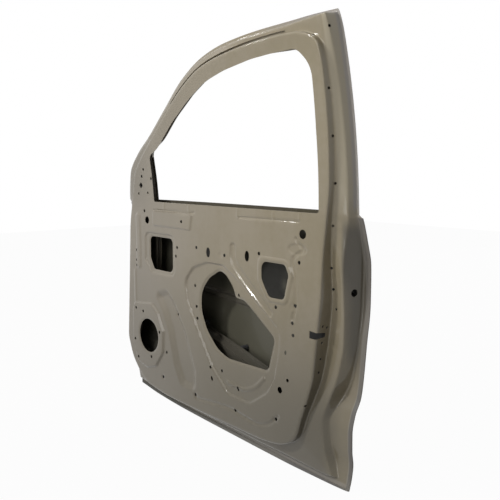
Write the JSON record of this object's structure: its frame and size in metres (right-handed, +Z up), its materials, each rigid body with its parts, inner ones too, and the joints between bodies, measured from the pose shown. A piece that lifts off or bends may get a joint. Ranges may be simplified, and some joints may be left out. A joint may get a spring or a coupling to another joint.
{
  "type": "car door shell",
  "caption": "Bare pressed-steel front door shell of a pickup, right-hand side, with window frame, hemmed outer skin and open inner panel.",
  "frame": {"origin": "centre of the upper hinge's seat on the front shut face", "axes": "+X towards the rear of the vehicle, +Y outboard, +Z up"},
  "size_m": [1.074, 0.1812, 1.229],
  "materials": {
    "e_coat": "glossy khaki-grey electro-coat primer over pressed steel",
    "e_coat_dark": "the same electro-coat, thinner and darker inside the door",
    "zinc": "zinc-plated weld nuts",
    "mastic": "dull black baked mastic"
  },
  "bodies": {
    "root": {"inner_panel": "e_coat", "outer_skin": "e_coat", "window_frame_outer": "e_coat", "header_channel": "e_coat", "skin_stiffener": "e_coat", "impact_beam": "e_coat", "belt_reinforcement_inner": "e_coat_dark", "belt_reinforcement_outer": "e_coat_dark", "front_glass_channel": "e_coat_dark", "rear_glass_channel": "e_coat_dark", "front_channel_bracket": "e_coat_dark", "rear_channel_bracket": "e_coat_dark", "beam_front_bracket": "e_coat_dark", "beam_rear_bracket": "e_coat_dark", "upper_hinge_reinforcement": "e_coat_dark", "lower_hinge_reinforcement": "e_coat_dark", "check_strap_reinforcement": "e_coat_dark", "latch_reinforcement": "e_coat_dark", "mirror_reinforcement": "e_coat_dark", "upper_hinge_nut_1": "zinc", "upper_hinge_nut_2": "zinc", "lower_hinge_nut_1": "zinc", "lower_hinge_nut_2": "zinc", "check_strap_nut_1": "zinc", "check_strap_nut_2": "zinc", "mirror_nut_1": "zinc", "mirror_nut_2": "zinc", "mirror_nut_3": "zinc", "anti_flutter_pad_1": "mastic", "anti_flutter_pad_2": "mastic", "anti_flutter_pad_3": "mastic", "anti_flutter_pad_4": "mastic", "anti_flutter_pad_5": "mastic", "anti_flutter_pad_6": "mastic"}
  },
  "joints": []
}
